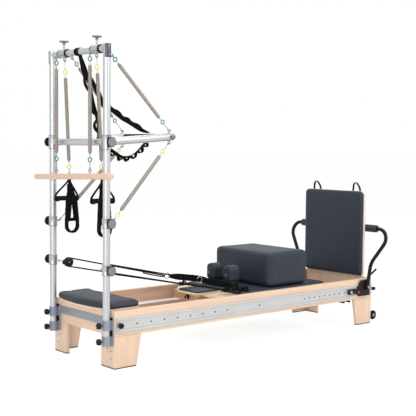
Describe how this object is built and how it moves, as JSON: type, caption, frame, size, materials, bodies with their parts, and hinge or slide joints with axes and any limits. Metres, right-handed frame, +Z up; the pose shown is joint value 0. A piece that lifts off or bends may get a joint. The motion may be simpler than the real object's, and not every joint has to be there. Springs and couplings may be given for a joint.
{
  "type": "pilates tower unit",
  "caption": "Pilates reformer in a wooden frame with a rolling sprung carriage, a steel tower with hanging springs, bars and handles, a jump board and a foot bar.",
  "frame": {"origin": "middle of the object's outline, on the floor", "axes": "+X along the frame from the tower end to the foot end, +Y across the frame, +Z up"},
  "size_m": [2.5504, 0.9916, 1.9863],
  "materials": {
    "maple": "satin",
    "upholstery": "satin",
    "aluminium": "satin",
    "grey_paint": "satin",
    "spring_steel": "satin",
    "black_plastic": "matt",
    "webbing": "woven",
    "rubber": "matt",
    "red_plastic": "gloss"
  },
  "bodies": {
    "base": {"near_side_rail": "maple", "far_side_rail": "maple", "tower_end_board": "maple", "foot_end_board": "maple", "near_tower_leg": "maple", "far_tower_leg": "maple", "near_foot_leg": "maple", "far_foot_leg": "maple", "platform_pad": "upholstery", "near_outer_track": "aluminium", "far_outer_track": "aluminium", "near_post": "aluminium", "far_post": "aluminium", "top_crossbar": "aluminium", "near_main_collar": "aluminium", "far_main_collar": "aluminium", "near_low_collar": "aluminium", "far_low_collar": "aluminium", "tower_bracket": "grey_paint", "near_upper_arm_spring": "spring_steel", "far_upper_arm_spring": "spring_steel", "near_lower_arm_spring": "spring_steel", "far_lower_arm_spring": "spring_steel", "carriage_springs": "spring_steel", "spring_bar": "black_plastic", "near_pulley": "black_plastic", "far_pulley": "black_plastic", "daisy_straps": "webbing", "near_rope": "webbing", "far_rope": "webbing"},
    "push_bar": {"push_bar": "aluminium"},
    "near_slider": {"near_slider": "aluminium"},
    "far_slider": {"far_slider": "aluminium"},
    "roll_down": {"near_long_spring": "spring_steel", "far_long_spring": "spring_steel", "roll_down_bar": "maple"},
    "near_handle": {"near_handle_spring": "spring_steel", "near_handle": "webbing"},
    "far_handle": {"far_handle_spring": "spring_steel", "far_handle": "webbing"},
    "near_mid_collar": {"near_mid_collar": "aluminium"},
    "far_mid_collar": {"far_mid_collar": "aluminium"},
    "near_sheave": {"near_sheave": "black_plastic"},
    "far_sheave": {"far_sheave": "black_plastic"},
    "near_transport_wheel": {"near_transport_wheel": "rubber"},
    "far_transport_wheel": {"far_transport_wheel": "rubber"},
    "carriage": {"carriage_frame": "maple", "carriage_pad": "upholstery", "near_shoulder_rest": "upholstery", "far_shoulder_rest": "upholstery"},
    "front_axle": {"front_wheel_axle": "black_plastic"},
    "rear_axle": {"rear_wheel_axle": "black_plastic"},
    "headrest": {"headrest": "upholstery"},
    "sitting_box": {"sitting_box": "upholstery"},
    "jump_board": {"jump_board": "upholstery"},
    "footbar_sliders": {"near_footbar_slider": "black_plastic", "far_footbar_slider": "black_plastic"},
    "footbar": {"footbar": "black_plastic"},
    "release_button": {"release_button": "red_plastic"},
    "footbar_lever": {"footbar_lever": "black_plastic"}
  },
  "joints": [
    {"name": "push_bar_swing", "type": "hinge", "parent": "base", "child": "push_bar", "pos_m": [-1.21368, 0, 1.358], "axis": [0, 1, 0], "range_deg": [-12, 12], "stiffness_Nm_per_rad": 400, "springref_deg": -3.15, "deforming": ["near_upper_arm_spring", "far_upper_arm_spring", "near_lower_arm_spring", "far_lower_arm_spring", "daisy_straps"]},
    {"name": "near_slider_shift", "type": "slide", "parent": "base", "child": "near_slider", "axis": [0, 1, 0], "range_m": [-0.015, 0.015]},
    {"name": "far_slider_shift", "type": "slide", "parent": "base", "child": "far_slider", "axis": [0, 1, 0], "range_m": [-0.015, 0.015]},
    {"name": "roll_down_swing", "type": "hinge", "parent": "near_slider", "child": "roll_down", "pos_m": [-1.25568, 0, 1.88], "axis": [0, 1, 0], "range_deg": [0, 40]},
    {"name": "near_handle_swing", "type": "hinge", "parent": "near_slider", "child": "near_handle", "pos_m": [-1.21368, -0.198, 1.868], "axis": [0, -1, 0], "range_deg": [0, 25]},
    {"name": "far_handle_swing", "type": "hinge", "parent": "far_slider", "child": "far_handle", "pos_m": [-1.21368, 0.16, 1.868], "axis": [0, -1, 0], "range_deg": [0, 25]},
    {"name": "near_mid_collar_slide", "type": "slide", "parent": "base", "child": "near_mid_collar", "axis": [0, 0, 1], "range_m": [-0.06, 0.06], "deforming": ["near_lower_arm_spring"]},
    {"name": "far_mid_collar_slide", "type": "slide", "parent": "base", "child": "far_mid_collar", "axis": [0, 0, 1], "range_m": [-0.06, 0.06], "deforming": ["far_lower_arm_spring"]},
    {"name": "near_sheave_spin", "type": "hinge", "parent": "base", "child": "near_sheave", "pos_m": [-1.15568, -0.232, 0.595], "axis": [-0.0437, 0.999, 0], "continuous": true},
    {"name": "far_sheave_spin", "type": "hinge", "parent": "base", "child": "far_sheave", "pos_m": [-1.15968, 0.205, 0.592], "axis": [0.0775, 0.997, 0], "continuous": true},
    {"name": "near_transport_wheel_spin", "type": "hinge", "parent": "base", "child": "near_transport_wheel", "pos_m": [1.23932, -0.328, 0.055], "axis": [0, 1, 0], "continuous": true},
    {"name": "far_transport_wheel_spin", "type": "hinge", "parent": "base", "child": "far_transport_wheel", "pos_m": [1.23932, 0.328, 0.055], "axis": [0, 1, 0], "continuous": true},
    {"name": "carriage_slide", "type": "slide", "parent": "base", "child": "carriage", "axis": [1, 0, 0], "range_m": [-0.56, 0], "stiffness_N_per_m": 600, "springref_m": 0.03, "deforming": ["near_rope", "far_rope", "carriage_springs"]},
    {"name": "front_axle_roll", "type": "hinge", "parent": "carriage", "child": "front_axle", "pos_m": [-0.16968, 0, 0.2773], "axis": [0, 1, 0], "range_deg": [-1480, 20]},
    {"name": "rear_axle_roll", "type": "hinge", "parent": "carriage", "child": "rear_axle", "pos_m": [0.62032, 0, 0.2773], "axis": [0, 1, 0], "range_deg": [-1480, 20]},
    {"name": "headrest_tilt", "type": "hinge", "parent": "carriage", "child": "headrest", "pos_m": [-0.12168, 0, 0.342], "axis": [0, 1, 0], "range_deg": [0, 45]},
    {"name": "box_lift", "type": "slide", "parent": "carriage", "child": "sitting_box", "axis": [0, 0, 1], "range_m": [0, 0.25]},
    {"name": "jump_board_lift", "type": "slide", "parent": "base", "child": "jump_board", "axis": [0, 0, 1], "range_m": [0, 0.3]},
    {"name": "footbar_slide", "type": "slide", "parent": "base", "child": "footbar_sliders", "axis": [1, 0, 0], "range_m": [0, 0.03]},
    {"name": "footbar_tilt", "type": "hinge", "parent": "footbar_sliders", "child": "footbar", "pos_m": [1.11232, 0, 0.29], "axis": [0, 1, 0], "range_deg": [0, 60]},
    {"name": "button_press", "type": "slide", "parent": "footbar_sliders", "child": "release_button", "axis": [0, 1, 0], "range_m": [0, 0.004], "stiffness_N_per_m": 300, "springref_m": -0.002},
    {"name": "lever_turn", "type": "hinge", "parent": "base", "child": "footbar_lever", "pos_m": [1.18632, -0.325, 0.36], "axis": [0, 0, 1], "range_deg": [0, 40]}
  ],
  "couplings": [
    {"joint": "far_slider_shift", "follows": "near_slider_shift", "ratio": 1},
    {"joint": "front_axle_roll", "follows": "carriage_slide", "rad_per_m": 45.455},
    {"joint": "rear_axle_roll", "follows": "carriage_slide", "rad_per_m": 45.455}
  ]
}
